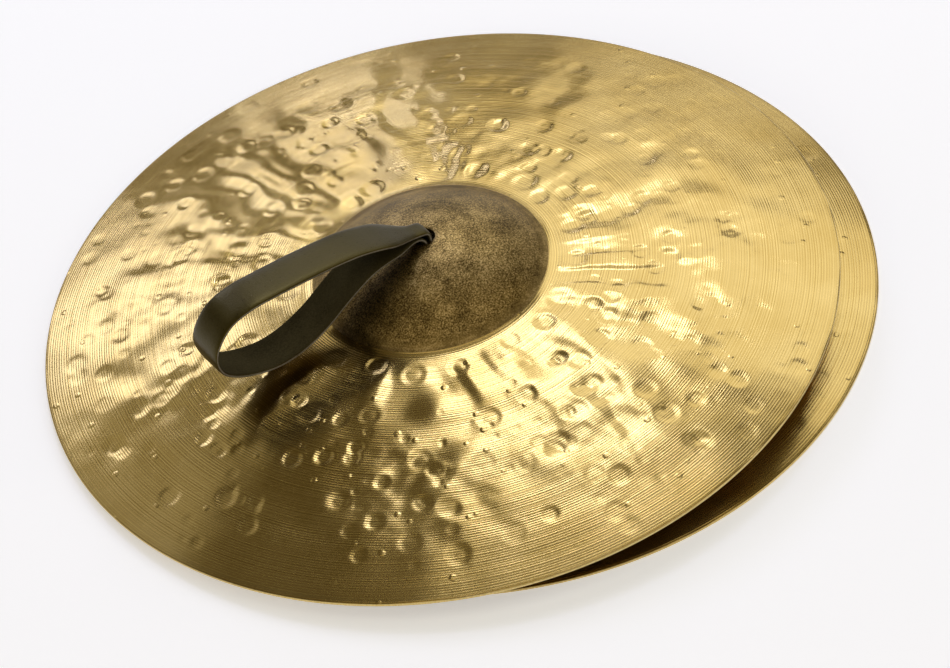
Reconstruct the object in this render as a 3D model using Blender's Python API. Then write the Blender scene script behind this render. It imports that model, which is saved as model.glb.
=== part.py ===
"""A pair of hand cymbals, one nested over the other, each with a leather hand strap.

Metres, +Z up. The lower cymbal lies on its rim with its bell up. The upper one lies over it,
moved along -X and leaning a little, carried by its strap knot on the strap of the lower one.
The origin is under the middle of the pair's box, on the surface that the lower rim stands on.
"""
import math

import bmesh
import bpy
from mathutils import Matrix, Vector

# Cymbal plate, driving sizes
RIM_RADIUS = 0.2286
BELL_RADIUS = 0.0673
BELL_HEIGHT = 0.0255
BOW_RISE = 0.0245
BOW_POWER = 1.6
FOOT_BLEND = 0.005
PLATE_THICKNESS = 0.0015
RIM_LAND = 0.0012
HOLE_RADIUS = 0.0065
SEGMENTS = 60
DOME_RINGS = 5
FOOT_RINGS = 4
FOOT_HALF_WIDTH = 0.010
BOW_RINGS = 6

# How the upper cymbal lies on the lower one
UPPER_SHIFT = 0.02524
UPPER_LEAN = math.radians(2.775)
UPPER_LEAN_HEADING = math.radians(159.4)
PLATE_CLEARANCE = 0.0006

# Strap leather
STRAP_WIDTH = 0.025
STRAP_THICKNESS = 0.0026
ROOT_WIDTH = 0.0115
ROOT_LENGTH = 0.034
NECK_CLEARANCE = 0.0006
UPPER_NECK_PROUD = 0.0015
LOWER_NECK_PROUD = 0.0006
LOOP_STEP = 0.006

# Gaps that touching pieces keep, and the weld distance of a piece's own points
TOUCH_GAP = 0.0003
LAY_GAP = 0.0006
WELD = 0.000001
SHARP_ANGLE = math.radians(35)

# Hand loop of the upper strap: distance out from the hinge and height over it
OPEN_LOOP_OUT = [
    (0.007, 0.0036), (0.015, 0.0076), (0.028, 0.0142), (0.046, 0.0202), (0.070, 0.0240),
    (0.098, 0.0266), (0.116, 0.0272), (0.130, 0.0240), (0.140, 0.0150), (0.144, 0.0045),
]
OPEN_LOOP_BACK = [
    (0.1405, -0.0072), (0.1275, -0.0166), (0.1095, -0.0223), (0.0926, -0.0216), (0.0758, -0.0160),
    (0.0582, -0.0064), (0.0416, 0.0012), (0.0270, 0.0034), (0.0140, 0.0016), (0.0060, -0.0006),
]

# Flat loop of the lower strap, trapped between the two plates
FLAT_LOOP_REACH = 0.150
FLAT_LOOP_FOLD_RADIUS = 0.0022
FLAT_LOOP_FLARE = 0.035

# Knot inside each bell: four strap ends, crowned two over two
TAIL_WIDTH = 0.007
TAIL_THICKNESS = 0.0020
TAIL_END = 0.0085
KNOT_LANE = 0.0044
FOLD_STEPS = 6

BRONZE = ("bronze", (0.74, 0.56, 0.28, 1.0), 0.28, 1.0)
LEATHER = ("strap_leather", (0.045, 0.032, 0.022, 1.0), 0.45, 0.0)

# Worked out from the driving sizes
DOME_RADIUS = (BELL_RADIUS ** 2 + BELL_HEIGHT ** 2) / (2 * BELL_HEIGHT)
CROWN = BOW_RISE + BELL_HEIGHT + PLATE_THICKNESS
NECK_RADIUS = HOLE_RADIUS - NECK_CLEARANCE
PLY_PITCH = STRAP_THICKNESS + TOUCH_GAP
LAYER_PITCH = TAIL_THICKNESS + TOUCH_GAP
KNOT_REACH = KNOT_LANE / 2 + TAIL_WIDTH + LAYER_PITCH + TAIL_THICKNESS / 2
TAIL_REACH = KNOT_LANE / 2 + TAIL_WIDTH + TAIL_END
HINGE_HEIGHT = UPPER_NECK_PROUD + TOUCH_GAP + STRAP_THICKNESS + TOUCH_GAP / 2


def smooth_max(a, b, width):
    """The larger of two heights, with the corner between them rounded."""
    blend = max(width - abs(a - b), 0.0)
    return max(a, b) + blend * blend / (4 * width)


def dome_height(radius, dome_radius):
    """Height of a bell's sphere at a distance from the axis."""
    foot = math.sqrt(DOME_RADIUS ** 2 - BELL_RADIUS ** 2)
    return BOW_RISE + PLATE_THICKNESS - foot + math.sqrt(max(dome_radius ** 2 - radius ** 2, 0.0))


def bow_height(radius):
    """Height of the bow's underside over the rim."""
    share = max(radius - BELL_RADIUS, 0.0) / (RIM_RADIUS - BELL_RADIUS)
    return BOW_RISE * (1.0 - min(share, 1.0) ** BOW_POWER)


def top_height(radius):
    """Height of the plate's upper face."""
    dome = dome_height(radius, DOME_RADIUS)
    return smooth_max(dome, bow_height(radius) + PLATE_THICKNESS, FOOT_BLEND)


def under_height(radius):
    """Height of the plate's underside."""
    dome = dome_height(radius, DOME_RADIUS - PLATE_THICKNESS)
    return smooth_max(dome, bow_height(radius), FOOT_BLEND)


def spread(start, end, count):
    """Evenly spaced values, both ends included."""
    return [start + (end - start) * step / (count - 1) for step in range(count)]


def ring_radii():
    """Radii of the plate's rings, from the hole to the rim."""
    inner_foot = BELL_RADIUS - FOOT_HALF_WIDTH
    outer_foot = BELL_RADIUS + FOOT_HALF_WIDTH
    radii = spread(HOLE_RADIUS, inner_foot, DOME_RINGS)
    radii += spread(inner_foot, outer_foot, FOOT_RINGS)[1:]
    radii += spread(outer_foot, RIM_RADIUS - RIM_LAND, BOW_RINGS)[1:]
    return radii


def upper_axes():
    """The upper cymbal's own axes, as unit vectors of the world."""
    lean = math.sin(UPPER_LEAN)
    normal = Vector((lean * math.cos(UPPER_LEAN_HEADING), lean * math.sin(UPPER_LEAN_HEADING),
                     math.cos(UPPER_LEAN)))
    along = Vector((1.0, 0.0, 0.0))
    along = (along - normal * along.dot(normal)).normalized()
    return along, normal.cross(along), normal


def lay_factor(reach):
    """Upright thickness of a layer on the plate's slope, for each unit of its own thickness."""
    slope = (top_height(reach + TOUCH_GAP) - top_height(max(reach - TOUCH_GAP, 0.0))) / (2 * TOUCH_GAP)
    return math.sqrt(1.0 + slope * slope)


def flat_ply_height(reach, ply):
    """Height of the middle of the flat strap's lower ply (0) or upper ply (1)."""
    lay = lay_factor(reach)
    height = top_height(reach) + (LAY_GAP + STRAP_THICKNESS / 2) * lay
    mouth = max(1.0 - reach / ROOT_LENGTH, 0.0)
    height += LOWER_NECK_PROUD * mouth
    flare = max(reach - (FLAT_LOOP_REACH - FLAT_LOOP_FLARE), 0.0) / FLAT_LOOP_FLARE
    ease = min(flare, 1.0) ** 2
    apart = PLY_PITCH * lay + (2 * FLAT_LOOP_FOLD_RADIUS - PLY_PITCH) * ease
    return height + apart * ply


def knot_drop():
    """How far the knot's first layer hangs under the crown's underside, to clear the bell."""
    inner = DOME_RADIUS - PLATE_THICKNESS
    corner = math.hypot(KNOT_REACH, KNOT_LANE / 2 + TAIL_WIDTH)
    return inner - math.sqrt(inner ** 2 - corner ** 2) + TOUCH_GAP


def knot_bottom():
    """Height of the knot's lowest face over the plate's rim."""
    return CROWN - PLATE_THICKNESS - knot_drop() - 2 * LAYER_PITCH - TAIL_THICKNESS


def seat_lift():
    """Height of the upper rim's centre at which the upper cymbal comes to rest on the lower one."""
    along, across, normal = upper_axes()
    lift = 0.0
    for turn in range(SEGMENTS):
        heading = 2 * math.pi * turn / SEGMENTS
        out = along * math.cos(heading) + across * math.sin(heading)
        for radius in spread(HOLE_RADIUS, RIM_RADIUS, SEGMENTS):
            place = out * radius + normal * under_height(radius)
            reach = math.hypot(place.x - UPPER_SHIFT, place.y)
            if reach <= RIM_RADIUS:
                lift = max(lift, top_height(reach) + PLATE_CLEARANCE - place.z)
    for reach in spread(0.0, FLAT_LOOP_REACH, SEGMENTS):
        strap_top = flat_ply_height(reach, 1) + lay_factor(reach) * STRAP_THICKNESS / 2 + TOUCH_GAP
        half = strap_width(reach) / 2
        for side in (-half, 0.0, half):
            place = Vector((UPPER_SHIFT - reach, side, 0.0))
            face = under_height(place.length)
            if abs(place.x) < TAIL_REACH:
                face = min(face, knot_bottom() + LAYER_PITCH)
            if abs(place.x) < KNOT_REACH:
                face = knot_bottom()
            lift = max(lift, strap_top - face * normal.z + place.x * normal.x + place.y * normal.y)
    return lift


def strap_width(reach):
    """Width of the strap: full at the hand, drawn in where it enters the hole."""
    inward = max(1.0 - reach / ROOT_LENGTH, 0.0)
    ease = inward * inward * (3 - 2 * inward)
    return STRAP_WIDTH + (ROOT_WIDTH - STRAP_WIDTH) * ease


LOWER_X = (UPPER_SHIFT + RIM_RADIUS * math.cos(UPPER_LEAN) - RIM_RADIUS) / 2
UPPER_LIFT = seat_lift()


def clear_scene():
    """Remove every object that the file holds."""
    for item in list(bpy.data.objects):
        bpy.data.objects.remove(item, do_unlink=True)


def material(spec):
    """A Principled material of the part's colour, roughness and metallic value."""
    name, colour, roughness, metallic = spec
    made = bpy.data.materials.get(name)
    if made is None:
        made = bpy.data.materials.new(name)
        made.use_nodes = True
        shader = made.node_tree.nodes["Principled BSDF"]
        shader.inputs["Base Color"].default_value = colour
        shader.inputs["Roughness"].default_value = roughness
        shader.inputs["Metallic"].default_value = metallic
    return made


def add_empty(name, matrix, parent=None):
    """A named empty that carries a frame for the pieces under it."""
    empty = bpy.data.objects.new(name, None)
    bpy.context.scene.collection.objects.link(empty)
    empty.parent = parent
    empty.matrix_local = matrix
    return empty


def add_piece(name, bm, spec, parent, turn=0.0):
    """Make one closed object from a bmesh, under its frame."""
    bmesh.ops.remove_doubles(bm, verts=bm.verts, dist=WELD)
    bmesh.ops.recalc_face_normals(bm, faces=bm.faces)
    mesh = bpy.data.meshes.new(name)
    bm.to_mesh(mesh)
    bm.free()
    mesh.materials.append(material(spec))
    mesh.shade_smooth()
    mesh.set_sharp_from_angle(angle=SHARP_ANGLE)
    piece = bpy.data.objects.new(name, mesh)
    bpy.context.scene.collection.objects.link(piece)
    piece.parent = parent
    piece.rotation_euler = (0.0, 0.0, turn)
    return piece


def add_cymbal(name, parent):
    """One cymbal: a closed profile of plate, bell and hole, turned round the axis."""
    radii = ring_radii()
    profile = [(radius, top_height(radius)) for radius in radii]
    profile.append((RIM_RADIUS, PLATE_THICKNESS))
    profile.append((RIM_RADIUS, 0.0))
    profile.append((RIM_RADIUS - RIM_LAND, 0.0))
    profile += [(radius, under_height(radius)) for radius in reversed(radii[:-1])]
    bm = bmesh.new()
    verts = [bm.verts.new((radius, 0.0, height)) for radius, height in profile]
    edges = [bm.edges.new((verts[i], verts[(i + 1) % len(verts)])) for i in range(len(verts))]
    bmesh.ops.spin(bm, geom=verts + edges, cent=(0, 0, 0), axis=(0, 0, 1),
                   angle=2 * math.pi, steps=SEGMENTS, use_merge=True)
    return add_piece(name, bm, BRONZE, parent)


def smooth_path(points, step):
    """Points about one step apart on a smooth curve through the given ones."""
    path = [points[0]]
    for i in range(len(points) - 1):
        before = Vector(points[max(i - 1, 0)])
        start = Vector(points[i])
        end = Vector(points[i + 1])
        after = Vector(points[min(i + 2, len(points) - 1)])
        count = max(1, round((end - start).length / step))
        for k in range(1, count + 1):
            t = k / count
            pull = (end - before) * (t - 2 * t ** 2 + t ** 3) + (after - start) * (t ** 3 - t ** 2)
            place = start * (1 - 3 * t ** 2 + 2 * t ** 3) + end * (3 * t ** 2 - 2 * t ** 3) + pull / 2
            path.append((place.x, place.y))
    return path


def add_ribbon(name, path, thickness, width_at, parent, turn=0.0, offset=0.0):
    """A strip of leather swept along a path of (out, height) pairs, out being along -X."""
    bm = bmesh.new()
    rings = []
    last = len(path) - 1
    for i, point in enumerate(path):
        here = Vector(point)
        ahead = Vector(path[min(i + 1, last)]) - Vector(path[max(i - 1, 0)])
        ahead.normalize()
        side = Vector((-ahead.y, ahead.x)) * thickness / 2
        half = width_at(here.x) / 2
        ring = []
        for out_sign, width_sign in ((1, 1), (1, -1), (-1, -1), (-1, 1)):
            corner = here + side * out_sign
            ring.append(bm.verts.new((-corner.x, offset + half * width_sign, corner.y)))
        rings.append(ring)
    for first, second in zip(rings, rings[1:]):
        for k in range(4):
            bm.faces.new((first[k], first[(k + 1) % 4], second[(k + 1) % 4], second[k]))
    bm.faces.new(rings[0])
    bm.faces.new(rings[-1])
    return add_piece(name, bm, LEATHER, parent, turn)


def tail_width(reach):
    """Width of a strap end in the knot."""
    return TAIL_WIDTH


def open_loop_path():
    """The upper strap's loop, from its upper ply at the hinge round to its lower ply."""
    points = [(0.0, PLY_PITCH / 2)] + OPEN_LOOP_OUT + OPEN_LOOP_BACK + [(0.0, -PLY_PITCH / 2)]
    return smooth_path(points, LOOP_STEP)


def flat_loop_path():
    """The lower strap's loop, its plies flat on the bell and bow, folded at the far end."""
    stations = spread(0.0, FLAT_LOOP_REACH, round(FLAT_LOOP_REACH / LOOP_STEP))
    upper = [(reach, flat_ply_height(reach, 1)) for reach in stations]
    lower = [(reach, flat_ply_height(reach, 0)) for reach in stations]
    middle = (upper[-1][1] + lower[-1][1]) / 2
    radius = (upper[-1][1] - lower[-1][1]) / 2
    fold = []
    for step in range(1, FOLD_STEPS):
        angle = math.pi / 2 - math.pi * step / FOLD_STEPS
        fold.append((FLAT_LOOP_REACH + radius * math.cos(angle), middle + radius * math.sin(angle)))
    return upper + fold + list(reversed(lower))


def add_neck(prefix, parent, top):
    """The two plies of the strap, rolled half round, that fill the hole from loop to knot."""
    bottom = CROWN - PLATE_THICKNESS - knot_drop() + TOUCH_GAP
    for label, sign in (("front", -1), ("back", 1)):
        bm = bmesh.new()
        outline = []
        for step in range(FOLD_STEPS + 1):
            angle = -math.pi / 2 + math.pi * step / FOLD_STEPS
            outline.append((sign * (TOUCH_GAP / 2 + (NECK_RADIUS - TOUCH_GAP / 2) * math.cos(angle)),
                            NECK_RADIUS * math.sin(angle)))
        low = bm.faces.new([bm.verts.new((x, y, bottom)) for x, y in outline])
        grown = bmesh.ops.extrude_face_region(bm, geom=[low])
        high = [item for item in grown["geom"] if isinstance(item, bmesh.types.BMVert)]
        bmesh.ops.translate(bm, verts=high, vec=(0.0, 0.0, top - bottom))
        add_piece(prefix + "_strap_neck_" + label, bm, LEATHER, parent)


def tail_path():
    """One strap end: out along the bell, folded back, then down under its neighbour and out."""
    first = CROWN - PLATE_THICKNESS - knot_drop() - TAIL_THICKNESS / 2
    middle = first - LAYER_PITCH
    last = middle - LAYER_PITCH
    edge = KNOT_LANE / 2 + TAIL_WIDTH
    path = [(KNOT_LANE / 2 - TOUCH_GAP, first)]
    for step in range(FOLD_STEPS + 1):
        angle = math.pi / 2 - math.pi * step / FOLD_STEPS
        path.append((edge + LAYER_PITCH * math.cos(angle), middle + LAYER_PITCH * math.sin(angle)))
    path.append((KNOT_LANE / 2, last))
    path.append((-KNOT_LANE / 2, middle))
    path.append((-TAIL_REACH, middle))
    return path


def add_knot(prefix, parent):
    """Four strap ends crowned into a flat knot inside the bell."""
    for index in range(4):
        add_ribbon(prefix + "_knot_tail_" + str(index + 1), tail_path(), TAIL_THICKNESS, tail_width,
                   parent, turn=index * math.pi / 2, offset=KNOT_LANE / 2 + TAIL_WIDTH / 2)


def build():
    """Both cymbals with their straps, in their places."""
    clear_scene()
    lower = add_empty("lower_frame", Matrix.Translation((LOWER_X, 0.0, 0.0)))
    along, across, normal = upper_axes()
    turned = Matrix((along, across, normal)).transposed().to_4x4()
    upper = add_empty("upper_frame", Matrix.Translation((LOWER_X - UPPER_SHIFT, 0.0, UPPER_LIFT)) @ turned)
    hinge = add_empty("upper_strap_hinge", Matrix.Translation((0.0, 0.0, CROWN + HINGE_HEIGHT)), upper)

    add_cymbal("lower_cymbal", lower)
    add_cymbal("upper_cymbal", upper)
    add_ribbon("upper_strap_loop", open_loop_path(), STRAP_THICKNESS, strap_width, hinge)
    add_ribbon("lower_strap_loop", flat_loop_path(), STRAP_THICKNESS, strap_width, lower)
    add_neck("upper", upper, CROWN + UPPER_NECK_PROUD)
    add_neck("lower", lower, CROWN + LOWER_NECK_PROUD)
    add_knot("upper", upper)
    add_knot("lower", lower)


build()
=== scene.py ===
"""Looks of a pair of hand-hammered cymbals with leather hand straps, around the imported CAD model.

Metres, +Z up. Each cymbal is built in its own frame: rim plane at z = 0, axis along z,
and its strap's loop out along -X.
"""
import math

import bpy
import numpy as np
from mathutils import Matrix, Vector


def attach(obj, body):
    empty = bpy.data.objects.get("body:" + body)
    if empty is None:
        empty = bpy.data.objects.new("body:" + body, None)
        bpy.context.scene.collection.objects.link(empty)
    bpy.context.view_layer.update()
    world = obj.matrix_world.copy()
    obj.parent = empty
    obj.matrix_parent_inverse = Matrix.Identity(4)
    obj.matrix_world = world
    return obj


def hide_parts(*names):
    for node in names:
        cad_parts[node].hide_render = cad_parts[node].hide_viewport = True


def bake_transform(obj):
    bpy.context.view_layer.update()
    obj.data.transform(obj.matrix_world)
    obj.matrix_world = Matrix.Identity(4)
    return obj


# Sizes of the CAD source, repeated
RIM_RADIUS = 0.2286
BELL_RADIUS = 0.0673
BELL_HEIGHT = 0.0255
BOW_RISE = 0.0245
BOW_POWER = 1.6
FOOT_BLEND = 0.005
PLATE_THICKNESS = 0.0015
HOLE_RADIUS = 0.0065
LOWER_X = 0.012486
UPPER_ORIGIN = (-0.012754, 0.0, 0.015037)
UPPER_LEAN = math.radians(2.775)
UPPER_LEAN_HEADING = math.radians(159.4)
STRAP_WIDTH = 0.025
STRAP_THICKNESS = 0.0026
ROOT_WIDTH = 0.0115
ROOT_LENGTH = 0.034
TOUCH_GAP = 0.0003
LAY_GAP = 0.0006
UPPER_NECK_PROUD = 0.0015
LOWER_NECK_PROUD = 0.0006
OPEN_LOOP_OUT = [
    (0.007, 0.0036), (0.015, 0.0076), (0.028, 0.0142), (0.046, 0.0202), (0.070, 0.0240),
    (0.098, 0.0266), (0.116, 0.0272), (0.130, 0.0240), (0.140, 0.0150), (0.144, 0.0045),
]
OPEN_LOOP_BACK = [
    (0.1405, -0.0072), (0.1275, -0.0166), (0.1095, -0.0223), (0.0926, -0.0216), (0.0758, -0.0160),
    (0.0582, -0.0064), (0.0416, 0.0012), (0.0270, 0.0034), (0.0140, 0.0016), (0.0060, -0.0006),
]
FLAT_LOOP_REACH = 0.150
FLAT_LOOP_FOLD_RADIUS = 0.0022
FLAT_LOOP_FLARE = 0.035
TAIL_WIDTH = 0.007
TAIL_THICKNESS = 0.0020
TAIL_END = 0.0085
KNOT_LANE = 0.0044

DOME_RADIUS = (BELL_RADIUS ** 2 + BELL_HEIGHT ** 2) / (2 * BELL_HEIGHT)
CROWN = BOW_RISE + BELL_HEIGHT + PLATE_THICKNESS
PLY_PITCH = STRAP_THICKNESS + TOUCH_GAP
LAYER_PITCH = TAIL_THICKNESS + TOUCH_GAP
KNOT_REACH = KNOT_LANE / 2 + TAIL_WIDTH + LAYER_PITCH + TAIL_THICKNESS / 2
TAIL_REACH = KNOT_LANE / 2 + TAIL_WIDTH + TAIL_END
HINGE_HEIGHT = UPPER_NECK_PROUD + TOUCH_GAP + STRAP_THICKNESS + TOUCH_GAP / 2

# The straps as they look: thinner than the solids, so that they clear the hole at every pose
BAND_THICKNESS = 0.0019
BAND_STEP = 0.0015
FLAT_BAND_STEP = 0.002
STRAP_CUP = 0.0005
STRAP_BEVEL = 0.0005
BEVEL_LIMIT = 0.3
BEVEL_CORNER = (0.3, 0.35)
ROOT_PLY = 0.0021
ROOT_DEPTH = 0.0008
ROOT_HOLD = 0.0035
ROOT_SPREAD = 0.023
OPEN_NECK_OUT = [(-ROOT_PLY, -0.004), (-0.0008, PLY_PITCH / 2 - 0.0006)]
OPEN_NECK_BACK = [(ROOT_PLY + 0.0006, -0.0036)]
FLAT_NECK_OUT = (-ROOT_PLY, CROWN - 0.0006)
FLAT_NECK_BACK = (ROOT_PLY, CROWN - 0.0012)
FLAT_NECK_REACH = 0.0045
TAIL_STEP = 0.0009
TAIL_TIP = 0.006
TAIL_TAPER = 0.45
RIBBON_COLUMNS = 10
FOLD_STEPS = 12
FLAT_STEPS = 60

# Mesh of the plates
BELL_STEP = 0.0016
UNDER_STEP = 0.0026
UPPER_CROWN_COUNT = 240
UPPER_BOW_STEP = 0.00118
LOWER_CROWN_COUNT = 180
LOWER_BOW_STEP = 0.0017
CROWN_EDGE = 0.030
FOOT_EDGE = 0.0735
EDGE_ROUND = 0.0003
EDGE_CORNER = EDGE_ROUND * 0.3
LIP = 0.0012
HOLE_DROP = 0.0002
OWN_PLACE = "own_place"

# Each plate's hammering: the seed of its own blows and how hard it is worked
UPPER_HAMMERING = (5, 1.0)
LOWER_HAMMERING = (11, 0.6)

# Lathe grooves and small pits of the bow. Noise scales are counts per metre, and a share says how
# much of a noise goes into a colour, a roughness or a relief.
GROOVE_PITCH = 0.00145
GROOVE_DEPTH = 0.000036
GROOVE_DRIFT = 4.0
FINE_LINES = 1500.0
FINE_LINE_RELIEF = 0.45
WIDE_LINES = 300.0
BOW_CLOUDS = 22.0
BOW_TONE_SHARES = {"fine": 0.5, "cloud": 0.5, "groove": 0.15}
BOW_ROUGHNESS = 0.150
BOW_ROUGH_SHARES = {"fine": 0.04, "cloud": 0.06}
BOW_BRUSHED = 0.80
PIT_SPACING = 0.016
PIT_DEPTH = 0.00012
PIT_WALL = (0.05, 0.15)

# Raw bell: specks over clouds, calmer on a turned band at its foot
BELL_BAND = (BELL_RADIUS - 0.0075, BELL_RADIUS - 0.0025)
BELL_SPECKS = 1150.0
BELL_CLOUDS = 60.0
BELL_LINES = 420.0
BELL_LINE_RELIEF = 0.5
BELL_GRAIN_DEPTH = 0.00012
BELL_TONE = 0.24
BELL_TONE_SHARES = {"cloud": 0.44, "lines": 0.08}
SPECK_SHARE = 0.35
SPECK_SHARE_OPEN = 0.45
BELL_ROUGHNESS = 0.26
BELL_ROUGH_SPECKS = 0.22
BELL_BRUSHED = 0.60
BRUSH_TURN = 0.25

# Cut rim
EDGE_SCRATCHES = 900.0
EDGE_ROUGHNESS = 0.30

# Leather
CREASES = 330.0
CREASE_STRETCH = (1.0, 0.16, 1.0)
LEATHER_STAINS = 45.0
LEATHER_TONE_SHARES = {"grain": 0.55, "stain": 0.45}
LEATHER_ROUGH_SPREAD = 0.16
LEATHER_RELIEF_SHARES = {"pebble": 0.5, "crease": 0.9, "grain": 1.0}
LEATHER_RELIEF_DEPTH = 0.00012
LEATHER_RELIEF_STRENGTH = 0.55
LEATHER_SHEEN = (1.0, 0.74, 0.10, 1.0)
FINE_GRAIN = 0.4

# Hammering: rays fanning out from the bell, over slow swells and patches of small lumps.
# Waves are given as (count, shortest, longest) and fades as (from, to) distances from the axis.
RAY_COUNT = 21
RAY_ORDERS = range(9, 32)
RAY_SPREAD = 5.0
RAY_SHARES = (0.5, 1.0)
RAY_TWIST = 2.0
RAY_DEPTH = 0.00033
RAY_SQUEEZE = 0.8
RAY_WANDER = 4.0
RAY_ROOT = (BELL_RADIUS + 0.001, BELL_RADIUS + 0.022)
RAY_FADE = (0.140, RIM_RADIUS - 0.012)
FINE_RAY_ORDERS = range(30, 58, 2)
FINE_RAY_DEPTH = 0.000015
FINE_RAY_FADE = (BELL_RADIUS + 0.022, BELL_RADIUS + 0.055)
WANDER_WAVES = (14, 0.045, 0.120)
SWELL_WAVES = (40, 0.016, 0.055)
SWELL_SLOPE = 0.042
SWELL_FADE = (RIM_RADIUS - 0.07, RIM_RADIUS - 0.004)
SWELL_LOST = 0.80
LUMP_WAVES = (40, 0.0075, 0.016)
LUMP_SLOPE = 0.032
LUMP_FADE = (RIM_RADIUS - 0.09, RIM_RADIUS - 0.02)
LUMP_LOST = 0.85
PATCH_WAVES = (12, 0.040, 0.110)
PATCH_EDGES = (-0.004, 0.010)

# The plate is calmer beside its strap
CALM_HEADING = math.radians(202)
CALM_SPREAD = math.radians(24)
CALM_SHARE = 0.65

# Single blows: a ring of them at the bell's foot, then large and small ones all over the bow
FOOT_DENTS = 19
FOOT_DENT_REACH = BELL_RADIUS + 0.0125
FOOT_DENT_STRAY = 0.30
FOOT_DENT_SHIFTS = (-0.002, 0.004)
FOOT_DENT_SIZES = (0.0068, 0.0095)
FOOT_DENT_DEPTHS = (0.00018, 0.00044)
BLOW_INNER = FOOT_DENT_REACH + 0.012
BLOW_OUTER = RIM_RADIUS - 0.010
BLOW_CROWDING = 0.85
BLOW_DEPTH_INNER = 1.10
BLOW_DEPTH_LOST = 0.50
BLOWS = [
    {"count": 230, "sizes": (0.0052, 0.0082), "depths": (0.00016, 0.00042)},
    {"count": 240, "sizes": (0.0022, 0.0042), "depths": (0.00005, 0.00015)},
]
DENT_FLOOR = 0.46
DENT_BOWL = 0.12

# Colours as (value of the noise, colour), from its dark parts to its light ones
LATHED_COLOURS = [(0.36, (0.47, 0.312, 0.078)), (0.68, (0.66, 0.480, 0.165))]
RAW_COLOURS = [
    (0.36, (0.060, 0.038, 0.010)),
    (0.50, (0.22, 0.145, 0.042)),
    (0.66, (0.54, 0.38, 0.140)),
]
EDGE_COLOURS = [(0.3, (0.62, 0.46, 0.16)), (0.7, (0.78, 0.61, 0.28))]
OUTER_COLOURS = [(0.38, (0.016, 0.0125, 0.0030)), (0.62, (0.028, 0.0220, 0.0062))]
SUEDE_COLOURS = [(0.38, (0.026, 0.0205, 0.0075)), (0.62, (0.058, 0.0470, 0.0185))]
CUT_COLOURS = [(0.38, (0.13, 0.115, 0.085)), (0.62, (0.27, 0.245, 0.195))]

# The strap's outer face, inner face and cut edges: name, colours, roughness, grain size, shine
LEATHERS = [
    ("leather_outer", OUTER_COLOURS, 0.30, 0.0006, 0.50),
    ("leather_suede", SUEDE_COLOURS, 0.90, 0.0004, 0.14),
    ("leather_cut", CUT_COLOURS, 0.75, 0.0005, 0.16),
]

# White ground, and the surround's colour by the sine of the elevation
FLOOR_HALF_SIZE = 12.0
FLOOR_COLOUR = (0.92, 0.93, 0.94, 1.0)
FLOOR_ROUGHNESS = 0.9
FLOOR_SHINE = 0.1
FLOOR_GLOW = 0.40
SURROUND = [
    (0.0, (0.50, 0.48, 0.44)),
    (0.20, (0.44, 0.42, 0.38)),
    (0.38, (0.17, 0.145, 0.10)),
    (1.0, (0.10, 0.085, 0.052)),
]

# The photograph's camera
CAMERA_PLACE = (-0.77778, -1.47330, 1.56914)
CAMERA_LOOK = (0.34006, 0.63855, -0.69038)
CAMERA_ROLL = math.radians(9.244)
CAMERA_LENS = 151.58
CAMERA_SENSOR = 36.0
CAMERA_CLIP = (0.05, 100.0)

# Lamps: name, heading from +X towards +Y, elevation, width and height as seen from the object
# (all four in degrees), brightness of the face, colour
LAMP_DISTANCE = 4.0
WARM = (1.0, 0.93, 0.80)
COOL = (0.92, 1.0, 1.60)
PALE = (0.97, 1.0, 1.14)
LAMPS = [
    ("panel", 41, 44, 42, 27, 1.42, PALE),
    ("key", 61, 56, 10, 8, 7.0, COOL),
    ("high_right", 54, 66, 20, 14, 1.35, PALE),
    ("left_low", 89, 33, 14, 16, 3.0, COOL),
    ("low_spot", 70, 25, 7, 7, 4.4, COOL),
    ("left_dim", 112, 42, 22, 24, 0.34, PALE),
    ("low_right", 46, 21, 18, 9, 1.2, PALE),
    ("near_high", 255, 74, 54, 34, 0.65, WARM),
    ("near_left", 205, 34, 40, 26, 1.0, WARM),
    ("near_right", 318, 34, 36, 26, 1.1, WARM),
]


def smooth_max(a, b, width):
    """The larger of two heights, with the corner between them rounded."""
    blend = np.maximum(width - np.abs(a - b), 0.0)
    return np.maximum(a, b) + blend * blend / (4 * width)


def dome_height(radius, dome_radius):
    """Height of a bell's sphere at a distance from the axis."""
    foot = math.sqrt(DOME_RADIUS ** 2 - BELL_RADIUS ** 2)
    rise = np.sqrt(np.maximum(dome_radius ** 2 - np.square(radius), 0.0))
    return BOW_RISE + PLATE_THICKNESS - foot + rise


def bow_height(radius):
    """Height of the bow's underside over the rim."""
    share = np.clip((radius - BELL_RADIUS) / (RIM_RADIUS - BELL_RADIUS), 0.0, 1.0)
    return BOW_RISE * (1.0 - share ** BOW_POWER)


def top_height(radius):
    """Height of the plate's upper face."""
    return smooth_max(dome_height(radius, DOME_RADIUS), bow_height(radius) + PLATE_THICKNESS, FOOT_BLEND)


def under_height(radius):
    """Height of the plate's underside."""
    return smooth_max(dome_height(radius, DOME_RADIUS - PLATE_THICKNESS), bow_height(radius), FOOT_BLEND)


def smooth_step(value, low, high):
    """0 below low, 1 above high, eased in between."""
    t = np.clip((value - low) / (high - low), 0.0, 1.0)
    return t * t * (3 - 2 * t)


def upper_matrix():
    """Place of the upper cymbal's own frame."""
    lean = math.sin(UPPER_LEAN)
    normal = Vector((lean * math.cos(UPPER_LEAN_HEADING), lean * math.sin(UPPER_LEAN_HEADING),
                     math.cos(UPPER_LEAN)))
    along = Vector((1.0, 0.0, 0.0))
    along = (along - normal * along.dot(normal)).normalized()
    turned = Matrix((along, normal.cross(along), normal)).transposed().to_4x4()
    return Matrix.Translation(UPPER_ORIGIN) @ turned


def lower_matrix():
    """Place of the lower cymbal's own frame."""
    return Matrix.Translation((LOWER_X, 0.0, 0.0))


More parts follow.
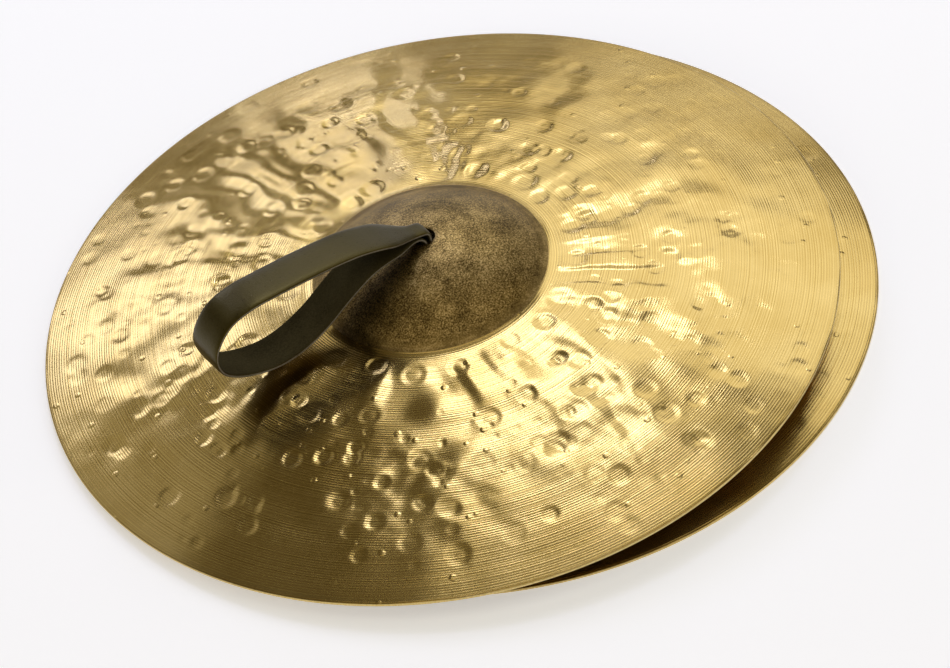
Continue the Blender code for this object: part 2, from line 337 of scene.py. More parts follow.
def new_material(name):
    """An empty node material with its Principled shader."""
    made = bpy.data.materials.new(name)
    made.use_nodes = True
    return made, made.node_tree.nodes, made.node_tree.links, made.node_tree.nodes["Principled BSDF"]


def node(nodes, kind, **values):
    """A shader node with its settings; names that are sockets are set on the sockets."""
    made = nodes.new(kind)
    for key, value in values.items():
        if hasattr(made, key):
            setattr(made, key, value)
        else:
            made.inputs[key.replace("_", " ")].default_value = value
    return made


def math_node(nodes, links, operation, first, second=None, third=None):
    """A Math node fed by sockets or numbers; returns its output socket."""
    made = nodes.new("ShaderNodeMath")
    made.operation = operation
    for socket, value in zip(made.inputs, (first, second, third)):
        if value is None:
            continue
        if isinstance(value, (int, float)):
            socket.default_value = value
        else:
            links.new(value, socket)
    return made.outputs[0]


def ramp(nodes, links, factor, stops):
    """A colour ramp over a socket; stops are (position, colour)."""
    made = nodes.new("ShaderNodeValToRGB")
    elements = made.color_ramp.elements
    while len(elements) < len(stops):
        elements.new(0.5)
    for element, (place, colour) in zip(elements, stops):
        element.position = place
        element.color = (*colour, 1.0)
    links.new(factor, made.inputs["Fac"])
    return made.outputs["Color"]


class Rings:
    """A closed skin of rings round an axis, with more segments where they are longer."""

    def __init__(self):
        self.places = []
        self.starts = []
        self.counts = []
        self.total = 0
        self.quads = []
        self.tris = []
        self.quad_marks = []
        self.tri_marks = []

    def add(self, radius, heights, count, mark):
        """Append a ring: heights is a function of (radius, x, y), mark the material up to this ring."""
        turns = np.arange(count) * (2 * math.pi / count)
        x = radius * np.cos(turns)
        y = radius * np.sin(turns)
        self.places.append(np.stack([x, y, heights(radius, x, y)], axis=1))
        self.starts.append(self.total)
        self.counts.append(count)
        self.total += count
        if len(self.starts) > 1:
            self._join(len(self.starts) - 2, len(self.starts) - 1, mark)

    def close(self, mark):
        """Join the last ring to the first."""
        self._join(len(self.starts) - 1, 0, mark)

    def _join(self, i, j, mark):
        a, b = self.starts[i], self.starts[j]
        n, m = self.counts[i], self.counts[j]
        if n == m:
            k = np.arange(n)
            k1 = (k + 1) % n
            faces = np.stack([a + k, a + k1, b + k1, b + k], axis=1)
            self.quads.append(faces)
            self.quad_marks += [mark] * n
            return
        few, many, flip = (a, b, False) if n < m else (b, a, True)
        count = min(n, m)
        k = np.arange(count)
        k1 = (k + 1) % count
        e0, e1, e2 = many + 2 * k, many + 2 * k + 1, many + (2 * k + 2) % (2 * count)
        parts = [
            np.stack([few + k, e1, e0], axis=1),
            np.stack([few + k, few + k1, e1], axis=1),
            np.stack([few + k1, e2, e1], axis=1),
        ]
        for part in parts:
            self.tris.append(part[:, ::-1] if flip else part)
            self.tri_marks += [mark] * count

    def mesh(self, name):
        """The Blender mesh of the rings."""
        places = np.concatenate(self.places)
        quads = np.concatenate(self.quads)
        tris = np.concatenate(self.tris)
        made = bpy.data.meshes.new(name)
        made.vertices.add(len(places))
        made.vertices.foreach_set("co", places.astype(np.float32).ravel())
        corners = np.concatenate([quads.ravel(), tris.ravel()])
        made.loops.add(len(corners))
        made.loops.foreach_set("vertex_index", corners.astype(np.int32))
        tri_starts = len(quads) * 4 + np.arange(len(tris)) * 3
        starts = np.concatenate([np.arange(len(quads)) * 4, tri_starts])
        made.polygons.add(len(starts))
        made.polygons.foreach_set("loop_start", starts.astype(np.int32))
        marks = np.array(self.quad_marks + self.tri_marks, np.int32)
        made.polygons.foreach_set("material_index", marks)
        made.update(calc_edges=True)
        made.validate()
        made.polygons.foreach_set("use_smooth", np.ones(len(made.polygons), bool))
        return made


def place_mesh(mesh, matrix, materials):
    """An object from a mesh in a piece's own frame; its points keep their places as an attribute."""
    own = np.empty(len(mesh.vertices) * 3, np.float32)
    mesh.vertices.foreach_get("co", own)
    mesh.attributes.new(OWN_PLACE, "FLOAT_VECTOR", "POINT").data.foreach_set("vector", own)
    mesh.transform(matrix)
    for item in materials:
        mesh.materials.append(item)
    made = bpy.data.objects.new(mesh.name, mesh)
    bpy.context.scene.collection.objects.link(made)
    return made


def own_place(nodes):
    """A point's place in its piece's own frame, as a socket."""
    return node(nodes, "ShaderNodeAttribute", attribute_name=OWN_PLACE).outputs["Vector"]


def smooth_waves(rng, count, shortest, longest, slope):
    """A sum of straight waves, as a function of (x, y); slope is its usual steepness."""
    lengths = rng.uniform(shortest, longest, count)
    headings = rng.uniform(0, 2 * math.pi, count)
    phases = rng.uniform(0, 2 * math.pi, count)
    step_x = 2 * math.pi * np.cos(headings) / lengths
    step_y = 2 * math.pi * np.sin(headings) / lengths
    heights = slope * math.sqrt(2 / count) * lengths / (2 * math.pi)

    def height(x, y):
        out = np.zeros_like(x)
        for a, b, c, h in zip(step_x, step_y, phases, heights):
            out += h * np.cos(a * x + b * y + c)
        return out

    return height


def hammer_dents(rng):
    """Hammer blows as (x, y, radius, depth)."""
    dents = []
    for k in range(FOOT_DENTS):
        turn = 2 * math.pi * (k + rng.uniform(-FOOT_DENT_STRAY, FOOT_DENT_STRAY)) / FOOT_DENTS
        reach = FOOT_DENT_REACH + rng.uniform(*FOOT_DENT_SHIFTS)
        size = rng.uniform(*FOOT_DENT_SIZES)
        depth = rng.uniform(*FOOT_DENT_DEPTHS)
        dents.append((reach * math.cos(turn), reach * math.sin(turn), size, depth))
    for blow in BLOWS:
        for _ in range(blow["count"]):
            share = rng.uniform(0, 1) ** BLOW_CROWDING
            reach = BLOW_INNER + (BLOW_OUTER - BLOW_INNER) * share
            turn = rng.uniform(0, 2 * math.pi)
            depth = rng.uniform(*blow["depths"]) * (BLOW_DEPTH_INNER - BLOW_DEPTH_LOST * share)
            size = rng.uniform(*blow["sizes"])
            dents.append((reach * math.cos(turn), reach * math.sin(turn), size, depth))
    return dents


def hammer_field(seed, force):
    """A function of a ring's (radius, x, y) giving how far hammering has moved the plate, in metres.

    force scales the rays and swells, not the single blows.
    """
    rng = np.random.default_rng(seed)
    rays = []
    for order in RAY_ORDERS:
        share = 1.0 / (1.0 + ((order - RAY_COUNT) / RAY_SPREAD) ** 2) * rng.uniform(*RAY_SHARES)
        phase = rng.uniform(0, 2 * math.pi)
        rays.append((order, share, phase, rng.uniform(-RAY_TWIST, RAY_TWIST)))
    total = math.sqrt(sum(share * share for _, share, _, _ in rays) / 2)
    fine_rays = []
    for order in FINE_RAY_ORDERS:
        share = rng.uniform(*RAY_SHARES)
        fine_rays.append((order, share, rng.uniform(0, 2 * math.pi)))
    wander = smooth_waves(rng, *WANDER_WAVES, 1.0)
    swell = smooth_waves(rng, *SWELL_WAVES, force * SWELL_SLOPE)
    lumps = smooth_waves(rng, *LUMP_WAVES, force * LUMP_SLOPE)
    patches = smooth_waves(rng, *PATCH_WAVES, 1.0)
    dents = hammer_dents(rng)

    def field(radius, x, y):
        heading = np.arctan2(y, x)
        aside = np.angle(np.exp(1j * (heading - CALM_HEADING)))
        calm = 1.0 - CALM_SHARE * np.exp(-np.square(aside / CALM_SPREAD))
        near = calm * smooth_step(radius, *RAY_ROOT)
        turn = heading + RAY_WANDER * wander(x, y)
        lag = math.log(radius / BELL_RADIUS)
        wave = np.zeros_like(x)
        for order, share, phase, twist in rays:
            wave += share * np.cos(order * turn + phase + twist * lag)
        out = force * RAY_DEPTH * np.tanh(RAY_SQUEEZE * wave / total)
        out *= near * (1.0 - smooth_step(radius, *RAY_FADE))
        out += swell(x, y) * near * (1.0 - SWELL_LOST * smooth_step(radius, *SWELL_FADE))
        rough = smooth_step(patches(x, y), *PATCH_EDGES) * near
        out += lumps(x, y) * rough * (1.0 - LUMP_LOST * smooth_step(radius, *LUMP_FADE))
        close = near * (1.0 - smooth_step(radius, *FINE_RAY_FADE))
        for order, share, phase in fine_rays:
            out += FINE_RAY_DEPTH * close * share * np.cos(order * turn + phase)
        for dent_x, dent_y, size, deep in dents:
            if abs(math.hypot(dent_x, dent_y) - radius) >= size:
                continue
            u = np.hypot(x - dent_x, y - dent_y) / size
            bowl = DENT_BOWL * np.maximum(1.0 - u * u, 0.0)
            out -= deep * (1.0 - smooth_step(u, DENT_FLOOR, 1.0) + bowl)
        return out

    return field


def add_plate(name, matrix, body, replaced, field, materials, crown_count, bow_step):
    """One cymbal: bell, bow and rim in one hammered skin, in its place."""
    rings = Rings()
    rim_count = crown_count * 4
    bell_mark, bow_mark, edge_mark = 0, 1, 2

    def top(radius, x, y):
        return float(top_height(radius)) + field(radius, x, y)

    def under(radius, x, y):
        return float(under_height(radius)) + field(radius, x, y)

    def count_at(radius):
        if radius < CROWN_EDGE:
            return crown_count
        return crown_count * 2 if radius < FOOT_EDGE else rim_count

    def flat(height):
        return lambda radius, x, y: np.full_like(x, height)

    bell_rings = round((BELL_RADIUS - HOLE_RADIUS) / BELL_STEP)
    bow_rings = round((RIM_RADIUS - EDGE_ROUND - BELL_RADIUS) / bow_step)
    outward = list(np.linspace(HOLE_RADIUS + EDGE_ROUND, BELL_RADIUS, bell_rings))
    outward += list(np.linspace(BELL_RADIUS, RIM_RADIUS - EDGE_ROUND, bow_rings))[1:]
    for radius in outward:
        rings.add(radius, top, count_at(radius), bell_mark if radius <= BELL_RADIUS else bow_mark)
    rim = [
        (RIM_RADIUS - EDGE_CORNER, PLATE_THICKNESS - EDGE_CORNER),
        (RIM_RADIUS, PLATE_THICKNESS - EDGE_ROUND),
        (RIM_RADIUS, EDGE_ROUND),
        (RIM_RADIUS - EDGE_CORNER, EDGE_CORNER),
        (RIM_RADIUS - EDGE_ROUND, 0.0),
    ]
    for radius, height in rim:
        rings.add(radius, flat(height), rim_count, edge_mark)
    bow_rings = round((RIM_RADIUS - LIP - BELL_RADIUS) / UNDER_STEP)
    bell_rings = round((BELL_RADIUS - HOLE_RADIUS) / UNDER_STEP)
    inward = list(np.linspace(RIM_RADIUS - LIP, BELL_RADIUS, bow_rings))
    inward += list(np.linspace(BELL_RADIUS, HOLE_RADIUS + EDGE_ROUND, bell_rings))[1:]
    for radius in inward:
        count = rim_count // 2 if radius > CROWN_EDGE else crown_count
        if radius == inward[0]:
            count = rim_count
        rings.add(radius, under, count, bow_mark if radius >= BELL_RADIUS else bell_mark)
    for height in (CROWN - PLATE_THICKNESS + EDGE_ROUND, CROWN - EDGE_ROUND):
        rings.add(HOLE_RADIUS, flat(height - HOLE_DROP), crown_count, bell_mark)
    rings.close(bell_mark)
    plate = place_mesh(rings.mesh(name), matrix, materials)
    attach(plate, body)
    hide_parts(replaced)


def radius_socket(nodes, links):
    """Distance from the cymbal's axis and the place itself, as sockets."""
    place = own_place(nodes)
    apart = nodes.new("ShaderNodeSeparateXYZ")
    links.new(place, apart.inputs[0])
    square_x = math_node(nodes, links, "MULTIPLY", apart.outputs["X"], apart.outputs["X"])
    square = math_node(nodes, links, "MULTIPLY_ADD", apart.outputs["Y"], apart.outputs["Y"], square_x)
    return math_node(nodes, links, "SQRT", square), place


def noise(nodes, links, place, **values):
    """Noise over a place, as a socket."""
    made = node(nodes, "ShaderNodeTexNoise", **values)
    links.new(place, made.inputs["Vector"])
    return made.outputs["Fac"]


def ring_noise(nodes, links, reach, scale, **values):
    """Noise that changes only with the distance from the axis, as a socket."""
    made = node(nodes, "ShaderNodeTexNoise", noise_dimensions="1D", Scale=1.0, **values)
    links.new(math_node(nodes, links, "MULTIPLY", reach, scale), made.inputs["W"])
    return made.outputs["Fac"]


def eased(nodes, links, value, low, high):
    """0 below low, 1 above high, eased in between, as a socket."""
    made = node(nodes, "ShaderNodeMapRange", interpolation_type="SMOOTHSTEP")
    made.inputs["From Min"].default_value = low
    made.inputs["From Max"].default_value = high
    links.new(value, made.inputs["Value"])
    return made.outputs[0]


def bump(nodes, links, height, depth, strength=1.0, below=None):
    """The surface's direction with a relief of this depth, as a socket; below is a relief under it."""
    made = node(nodes, "ShaderNodeBump", Strength=strength, Distance=depth)
    links.new(height, made.inputs["Height"])
    if below is not None:
        links.new(below, made.inputs["Normal"])
    return made.outputs[0]


def weighted(nodes, links, base, sockets, shares):
    """A base plus each socket times its share, as a socket. Both are given by name."""
    total = base
    for key, share in shares.items():
        total = math_node(nodes, links, "MULTIPLY_ADD", sockets[key], share, total)
    return total


def turned_metal(nodes, links, shader, brushed):
    """Metal whose highlights are drawn out across its lathe marks."""
    shader.inputs["Metallic"].default_value = 1.0
    shader.inputs["Anisotropic"].default_value = brushed
    shader.inputs["Anisotropic Rotation"].default_value = BRUSH_TURN
    tangent = node(nodes, "ShaderNodeTangent", direction_type="RADIAL", axis="Z")
    links.new(tangent.outputs[0], shader.inputs["Tangent"])


def lathed_bronze():
    """Bow of the cymbal: gold bronze turned on a lathe, fine grooves round the axis, small pits."""
    made, nodes, links, shader = new_material("bronze_lathed")
    turned_metal(nodes, links, shader, BOW_BRUSHED)
    reach, place = radius_socket(nodes, links)
    fine = ring_noise(nodes, links, reach, FINE_LINES, Detail=2.0, Roughness=0.6)
    wide = ring_noise(nodes, links, reach, WIDE_LINES, Detail=3.0)
    cloud = noise(nodes, links, place, Scale=BOW_CLOUDS, Detail=4.0, Roughness=0.55)
    turn = math_node(nodes, links, "MULTIPLY", reach, 2 * math.pi / GROOVE_PITCH)
    turn = math_node(nodes, links, "MULTIPLY_ADD", wide, GROOVE_DRIFT, turn)
    groove = math_node(nodes, links, "SINE", turn)
    groove = math_node(nodes, links, "MULTIPLY", groove, wide)
    groove = math_node(nodes, links, "MULTIPLY_ADD", fine, FINE_LINE_RELIEF, groove)
    sockets = {"fine": fine, "cloud": cloud, "groove": groove}
    tone = weighted(nodes, links, 0.0, sockets, BOW_TONE_SHARES)
    links.new(ramp(nodes, links, tone, LATHED_COLOURS), shader.inputs["Base Color"])
    rough = weighted(nodes, links, BOW_ROUGHNESS, sockets, BOW_ROUGH_SHARES)
    links.new(rough, shader.inputs["Roughness"])
    spots = node(nodes, "ShaderNodeTexVoronoi", Scale=1 / PIT_SPACING)
    links.new(place, spots.inputs["Vector"])
    pit = eased(nodes, links, spots.outputs["Distance"], *PIT_WALL)
    grooved = bump(nodes, links, groove, GROOVE_DEPTH)
    links.new(bump(nodes, links, pit, PIT_DEPTH, below=grooved), shader.inputs["Normal"])
    return made


def raw_bronze():
    """Bell of the cymbal: left raw, dark and speckled, with a turned band round its foot."""
    made, nodes, links, shader = new_material("bronze_raw")
    turned_metal(nodes, links, shader, BELL_BRUSHED)
    reach, place = radius_socket(nodes, links)
    speck = noise(nodes, links, place, Scale=BELL_SPECKS, Detail=2.0, Roughness=0.6)
    cloud = noise(nodes, links, place, Scale=BELL_CLOUDS, Detail=4.0, Roughness=0.6)
    lines = ring_noise(nodes, links, reach, BELL_LINES, Detail=3.0)
    raw_share = math_node(nodes, links, "SUBTRACT", 1.0, eased(nodes, links, reach, *BELL_BAND))
    spread = math_node(nodes, links, "MULTIPLY_ADD", raw_share, SPECK_SHARE_OPEN, SPECK_SHARE)
    tone = math_node(nodes, links, "SUBTRACT", speck, 0.5)
    tone = math_node(nodes, links, "MULTIPLY_ADD", tone, spread, BELL_TONE)
    tone = weighted(nodes, links, tone, {"cloud": cloud, "lines": lines}, BELL_TONE_SHARES)
    links.new(ramp(nodes, links, tone, RAW_COLOURS), shader.inputs["Base Color"])
    rough = math_node(nodes, links, "MULTIPLY_ADD", speck, BELL_ROUGH_SPECKS, BELL_ROUGHNESS)
    links.new(rough, shader.inputs["Roughness"])
    grain = math_node(nodes, links, "MULTIPLY", speck, raw_share)
    grain = math_node(nodes, links, "MULTIPLY_ADD", lines, BELL_LINE_RELIEF, grain)
    links.new(bump(nodes, links, grain, BELL_GRAIN_DEPTH), shader.inputs["Normal"])
    return made


def edge_bronze():
    """Cut edge of the rim: bright, smooth."""
    made, nodes, links, shader = new_material("bronze_edge")
    scratch = noise(nodes, links, own_place(nodes), Scale=EDGE_SCRATCHES, Detail=2.0)
    links.new(ramp(nodes, links, scratch, EDGE_COLOURS), shader.inputs["Base Color"])
    shader.inputs["Metallic"].default_value = 1.0
    shader.inputs["Roughness"].default_value = EDGE_ROUGHNESS
    return made


def add_camera():
    """The photograph's camera."""
    data = bpy.data.cameras.new("camera")
    data.lens = CAMERA_LENS
    data.sensor_width = CAMERA_SENSOR
    data.clip_start, data.clip_end = CAMERA_CLIP
    look = Vector(CAMERA_LOOK).normalized()
    level = look.cross(Vector((0.0, 0.0, 1.0))).normalized()
    rise = level.cross(look)
    right = level * math.cos(CAMERA_ROLL) - rise * math.sin(CAMERA_ROLL)
    up = right.cross(look)
    turned = Matrix((right, up, -look)).transposed().to_4x4()
    camera = bpy.data.objects.new("camera", data)
    bpy.context.scene.collection.objects.link(camera)
    camera.matrix_world = Matrix.Translation(CAMERA_PLACE) @ turned
    bpy.context.scene.camera = camera


def add_lamp(name, heading, elevation, width, height, level, colour):
    """A soft area lamp aimed at the object, its place and size given as angles seen from there."""
    data = bpy.data.lights.new(name, "AREA")
    data.shape = "RECTANGLE"
    data.size = 2 * LAMP_DISTANCE * math.tan(math.radians(width / 2))
    data.size_y = 2 * LAMP_DISTANCE * math.tan(math.radians(height / 2))
    data.energy = level * math.pi * data.size * data.size_y
    data.color = colour
    lamp = bpy.data.objects.new(name, data)
    bpy.context.scene.collection.objects.link(lamp)
    a, e = math.radians(heading), math.radians(elevation)
    out = Vector((math.cos(a) * math.cos(e), math.sin(a) * math.cos(e), math.sin(e)))
    lamp.location = out * LAMP_DISTANCE
    lamp.rotation_mode = "QUATERNION"
    lamp.rotation_quaternion = out.to_track_quat("Z", "Y")


def add_floor():
    """The white ground that the pair lies on."""
    mesh = bpy.data.meshes.new("floor")
    corners = [(-1, -1), (1, -1), (1, 1), (-1, 1)]
    places = [(FLOOR_HALF_SIZE * x, FLOOR_HALF_SIZE * y, 0) for x, y in corners]
    mesh.from_pydata(places, [], [(0, 1, 2, 3)])
    made, nodes, links, shader = new_material("floor_white")
    shader.inputs["Base Color"].default_value = FLOOR_COLOUR
    shader.inputs["Roughness"].default_value = FLOOR_ROUGHNESS
    shader.inputs["Specular IOR Level"].default_value = FLOOR_SHINE
    path = nodes.new("ShaderNodeLightPath")
    seen = math_node(nodes, links, "MAXIMUM", path.outputs["Is Camera Ray"], path.outputs["Is Glossy Ray"])
    seen = math_node(nodes, links, "MAXIMUM", seen, path.outputs["Is Transmission Ray"])
    glow = math_node(nodes, links, "MULTIPLY", seen, FLOOR_GLOW)
    links.new(glow, shader.inputs["Emission Strength"])
    shader.inputs["Emission Color"].default_value = (1.0, 1.0, 1.0, 1.0)
    mesh.materials.append(made)
    floor = bpy.data.objects.new("floor", mesh)
    bpy.context.scene.collection.objects.link(floor)


def add_world():
    """A plain surround, pale at the horizon and dim overhead, where the lamps are."""
    world = bpy.data.worlds.new("studio")
    bpy.context.scene.world = world
    world.use_nodes = True
    nodes, links = world.node_tree.nodes, world.node_tree.links
    back = nodes["Background"]
    place = nodes.new("ShaderNodeTexCoord").outputs["Generated"]
    apart = nodes.new("ShaderNodeSeparateXYZ")
    links.new(place, apart.inputs[0])
    links.new(ramp(nodes, links, apart.outputs["Z"], SURROUND), back.inputs["Color"])
    back.inputs["Strength"].default_value = 1.0


def catmull(points, step):
    """Points about one step apart on a smooth curve through the given ones."""
    path = [points[0]]
    for i in range(len(points) - 1):
        before = Vector(points[max(i - 1, 0)])
        start = Vector(points[i])
        end = Vector(points[i + 1])
        after = Vector(points[min(i + 2, len(points) - 1)])
        count = max(1, round((end - start).length / step))
        for k in range(1, count + 1):
            t = k / count
            pull = (end - before) * (t - 2 * t ** 2 + t ** 3) + (after - start) * (t ** 3 - t ** 2)
            place = start * (1 - 3 * t ** 2 + 2 * t ** 3) + end * (3 * t ** 2 - 2 * t ** 3) + pull / 2
            path.append((place.x, place.y))
    return path


def strap_width(reach):
    """Width of the strap: full at the hand, drawn in where it enters the hole."""
    inward = min(max(1.0 - (reach - ROOT_HOLD) / ROOT_SPREAD, 0.0), 1.0)
    ease = inward * inward * (3 - 2 * inward)
    return STRAP_WIDTH + (ROOT_WIDTH - STRAP_WIDTH) * ease


def add_ribbon(name, path, thickness, width_at, matrix, materials, offset=0.0, cup=0.0):
    """A strip of leather with rounded edges, swept along (out, height) pairs, out being along -X.

    Its outer face is on the left of the path. cup is how far its edges stand in from the middle
    of that face.
    """
    places = []
    last = len(path) - 1
    columns = RIBBON_COLUMNS
    bevel = min(STRAP_BEVEL, thickness * BEVEL_LIMIT)
    for i, point in enumerate(path):
        here = Vector(point)
        ahead = Vector(path[min(i + 1, last)]) - Vector(path[max(i - 1, 0)])
        ahead.normalize()
        side = Vector((-ahead.y, ahead.x))
        half = width_at(here.x) / 2
        inner = half - bevel * BEVEL_CORNER[0]
        high = thickness / 2 - bevel * BEVEL_CORNER[1]
        low = thickness / 2 - bevel
        ring = []
        for face in (1, -1):
            for k in range(columns + 1):
                share = face * (2 * k / columns - 1)
                ring.append((share * (half - bevel), face * thickness / 2 - cup * share ** 4))
            ring.append((face * inner, face * high - cup))
            ring.append((face * half, face * low - cup))
            ring.append((face * half, -face * low - cup))
            ring.append((face * inner, -face * high - cup))
        for across, over in ring:
            spot = here + side * over
            places.append((-spot.x, offset + across, spot.y))
    size = 2 * (columns + 1) + 8
    outer_mark, inner_mark, cut_mark = 0, 1, 2
    faces = []
    marks = []
    for i in range(last):
        for k in range(size):
            k1 = (k + 1) % size
            faces.append((i * size + k, i * size + k1, (i + 1) * size + k1, (i + 1) * size + k))
            if k < columns + 2 or k >= size - 2:
                marks.append(outer_mark)
            elif columns + 3 <= k < size - 3:
                marks.append(inner_mark)
            else:
                marks.append(cut_mark)
    faces.append(tuple(reversed(range(size))))
    faces.append(tuple(last * size + k for k in range(size)))
    marks += [cut_mark, cut_mark]
    mesh = bpy.data.meshes.new(name)
    mesh.from_pydata(places, [], faces)
    mesh.polygons.foreach_set("material_index", np.array(marks, np.int32))
    smooth = np.ones(len(faces), bool)
    smooth[-2:] = False
    mesh.polygons.foreach_set("use_smooth", smooth)
    mesh.update()
    return place_mesh(mesh, matrix, materials)


def tail_path():
    """One strap end of the knot: out along the bell, folded back, down under its neighbour and out."""
    corner = math.hypot(KNOT_REACH, KNOT_LANE / 2 + TAIL_WIDTH)
    inner = DOME_RADIUS - PLATE_THICKNESS
    drop = inner - math.sqrt(inner ** 2 - corner ** 2) + TOUCH_GAP
    first = CROWN - PLATE_THICKNESS - drop - TAIL_THICKNESS / 2
    middle = first - LAYER_PITCH
    edge = KNOT_LANE / 2 + TAIL_WIDTH
    path = [(KNOT_LANE / 2 - TOUCH_GAP, first)]
    for step in range(FOLD_STEPS + 1):
        angle = math.pi / 2 - math.pi * step / FOLD_STEPS
        path.append((edge + LAYER_PITCH * math.cos(angle), middle + LAYER_PITCH * math.sin(angle)))
    path.append((KNOT_LANE / 2, middle - LAYER_PITCH))
    path.append((-KNOT_LANE / 2, middle))
    path.append((-TAIL_REACH, middle))
    return path


def tail_width(reach):
    """Width of a strap end: its last stretch tapers to the tip."""
    tip = max((-reach - TAIL_REACH + TAIL_TIP) / TAIL_TIP, 0.0)
    return TAIL_WIDTH * (1.0 - TAIL_TAPER * tip ** 2)


def add_knot(prefix, matrix, skins):
    """Four strap ends crowned into a flat knot inside the bell, their inner face outwards."""
    for index in range(4):
        turned = matrix @ Matrix.Rotation(index * math.pi / 2, 4, "Z")
        name = prefix + "_knot_tail_" + str(index + 1)
        tail = add_ribbon(name + "_leather", dense(tail_path(), TAIL_STEP), TAIL_THICKNESS, tail_width,
                          turned, [skins[1], skins[0], skins[2]], offset=KNOT_LANE / 2 + TAIL_WIDTH / 2)
        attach(tail, prefix + "_strap")
        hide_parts(name)


def dense(path, step):
    """The same path with points no more than about a step apart."""
    filled = [path[0]]
    for start, end in zip(path, path[1:]):
        count = max(1, math.ceil(math.dist(start, end) / step))
        for k in range(1, count + 1):
            filled.append(tuple(a + (b - a) * k / count for a, b in zip(start, end)))
    return filled


def leather(name, colours, roughness, grain_size, shine):
    """Leather: pebbled grain, fine creases across the strap and slow changes of tone."""
    made, nodes, links, shader = new_material(name)
    place = own_place(nodes)
    pebble = node(nodes, "ShaderNodeTexVoronoi", Scale=1 / grain_size)
    links.new(place, pebble.inputs["Vector"])
    grain = noise(nodes, links, place, Scale=FINE_GRAIN / grain_size, Detail=5.0, Roughness=0.6)
    drawn = node(nodes, "ShaderNodeMapping", vector_type="POINT")
    drawn.inputs["Scale"].default_value = CREASE_STRETCH
    links.new(place, drawn.inputs["Vector"])
    crease = noise(nodes, links, drawn.outputs[0], Scale=CREASES, Detail=3.0)
    stain = noise(nodes, links, place, Scale=LEATHER_STAINS, Detail=3.0)
    sockets = {"pebble": pebble.outputs["Distance"], "grain": grain, "crease": crease, "stain": stain}
    tone = weighted(nodes, links, 0.0, sockets, LEATHER_TONE_SHARES)
    links.new(ramp(nodes, links, tone, colours), shader.inputs["Base Color"])
    smoothest = roughness - LEATHER_ROUGH_SPREAD / 2
    rough = math_node(nodes, links, "MULTIPLY_ADD", grain, LEATHER_ROUGH_SPREAD, smoothest)
    links.new(rough, shader.inputs["Roughness"])
    shader.inputs["Specular IOR Level"].default_value = shine
    shader.inputs["Specular Tint"].default_value = LEATHER_SHEEN
    height = weighted(nodes, links, 0.0, sockets, LEATHER_RELIEF_SHARES)
    relief = bump(nodes, links, height, LEATHER_RELIEF_DEPTH, strength=LEATHER_RELIEF_STRENGTH)
    links.new(relief, shader.inputs["Normal"])
    return made


def lay_factor(reach):
    """Upright thickness of a layer on the plate's slope, for each unit of its own thickness."""
    slope = (top_height(reach + TOUCH_GAP) - top_height(max(reach - TOUCH_GAP, 0.0))) / (2 * TOUCH_GAP)
    return math.sqrt(1.0 + float(slope) ** 2)


def flat_ply_height(reach, ply):
    """Height of the middle of the flat strap's lower ply (0) or upper ply (1)."""
    lay = lay_factor(reach)
    height = float(top_height(reach)) + (LAY_GAP + STRAP_THICKNESS / 2) * lay
    height += LOWER_NECK_PROUD * max(1.0 - reach / ROOT_LENGTH, 0.0)
    flare = max(reach - (FLAT_LOOP_REACH - FLAT_LOOP_FLARE), 0.0) / FLAT_LOOP_FLARE
    apart = PLY_PITCH * lay + (2 * FLAT_LOOP_FOLD_RADIUS - PLY_PITCH) * min(flare, 1.0) ** 2
    return height + apart * ply


def flat_loop_path():
    """The lower strap's loop, flat on the bell and bow, folded at the far end."""
    stations = [FLAT_LOOP_REACH * k / FLAT_STEPS for k in range(FLAT_STEPS + 1)]
    upper = [(reach, flat_ply_height(reach, 1)) for reach in stations]
    lower = [(reach, flat_ply_height(reach, 0)) for reach in stations]
    middle = (upper[-1][1] + lower[-1][1]) / 2
    radius = (upper[-1][1] - lower[-1][1]) / 2
    fold = []
    for step in range(1, FOLD_STEPS):
        angle = math.pi / 2 - math.pi * step / FOLD_STEPS
        fold.append((FLAT_LOOP_REACH + radius * math.cos(angle), middle + radius * math.sin(angle)))
    return upper + fold + list(reversed(lower))


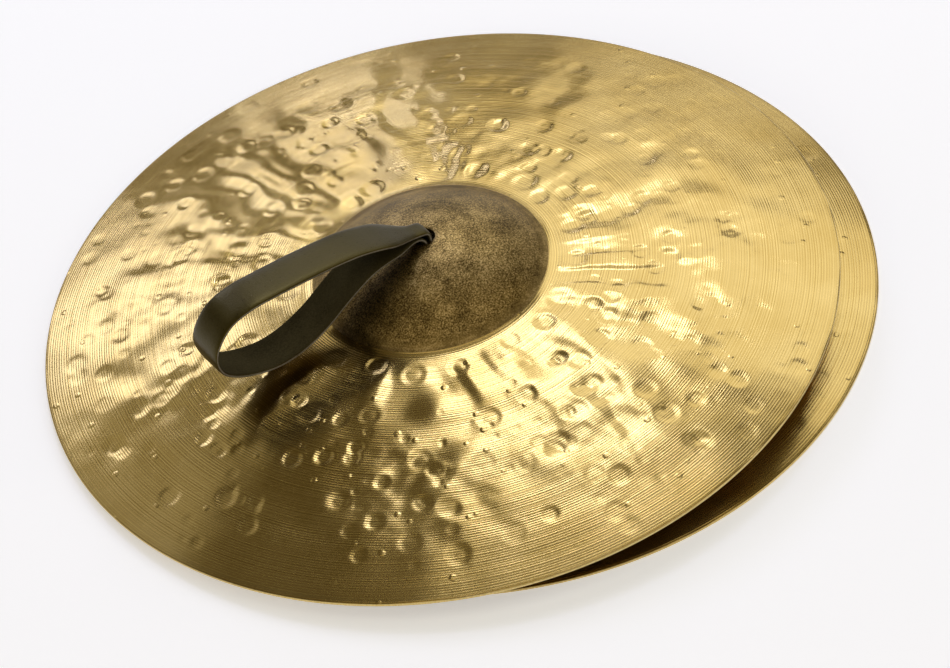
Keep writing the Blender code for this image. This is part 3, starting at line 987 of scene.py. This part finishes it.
def add_upper_strap(skins):
    """The upper strap: its loop comes up out of the bell's hole and bends over the hinge."""
    hinge = upper_matrix() @ Matrix.Translation((0.0, 0.0, CROWN + HINGE_HEIGHT))
    deep = -HINGE_HEIGHT - PLATE_THICKNESS - ROOT_DEPTH
    outward = [(-ROOT_PLY, deep)] + OPEN_NECK_OUT + OPEN_LOOP_OUT
    back = OPEN_LOOP_BACK + OPEN_NECK_BACK + [(ROOT_PLY, deep)]
    path = catmull(outward + back, BAND_STEP)
    band = add_ribbon("upper_strap_band", path, BAND_THICKNESS, strap_width, hinge, skins, cup=STRAP_CUP)
    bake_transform(band)
    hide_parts("upper_strap_loop", "upper_strap_neck_front", "upper_strap_neck_back")
    add_knot("upper", upper_matrix(), skins)


def add_lower_strap(skins):
    """The lower strap: its loop lies flat between the cymbals."""
    deep = CROWN - PLATE_THICKNESS - ROOT_DEPTH
    start = [(-ROOT_PLY, deep), FLAT_NECK_OUT]
    loop = [point for point in flat_loop_path() if point[0] > FLAT_NECK_REACH]
    end = [FLAT_NECK_BACK, (ROOT_PLY, deep)]
    path = catmull(start + loop + end, FLAT_BAND_STEP)
    band = add_ribbon("lower_strap_band", path, BAND_THICKNESS, strap_width, lower_matrix(), skins)
    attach(band, "lower_strap")
    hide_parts("lower_strap_loop", "lower_strap_neck_front", "lower_strap_neck_back")
    add_knot("lower", lower_matrix(), skins)


def build():
    """Everything, in its place."""
    add_camera()
    add_floor()
    add_world()
    for lamp in LAMPS:
        add_lamp(*lamp)
    bronze = [raw_bronze(), lathed_bronze(), edge_bronze()]
    add_plate("upper_cymbal_plate", upper_matrix(), "upper_cymbal", "upper_cymbal",
              hammer_field(*UPPER_HAMMERING), bronze, UPPER_CROWN_COUNT, UPPER_BOW_STEP)
    add_plate("lower_cymbal_plate", lower_matrix(), "lower_cymbal", "lower_cymbal",
              hammer_field(*LOWER_HAMMERING), bronze, LOWER_CROWN_COUNT, LOWER_BOW_STEP)
    skins = [leather(*skin) for skin in LEATHERS]
    add_upper_strap(skins)
    add_lower_strap(skins)


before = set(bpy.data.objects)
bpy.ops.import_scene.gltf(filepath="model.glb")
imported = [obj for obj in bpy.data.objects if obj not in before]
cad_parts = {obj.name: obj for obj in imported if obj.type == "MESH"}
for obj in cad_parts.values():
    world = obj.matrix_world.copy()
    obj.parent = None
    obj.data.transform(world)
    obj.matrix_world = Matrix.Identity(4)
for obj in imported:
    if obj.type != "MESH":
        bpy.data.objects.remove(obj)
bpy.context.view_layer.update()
bpy.context.scene.view_settings.view_transform = "Standard"
build()
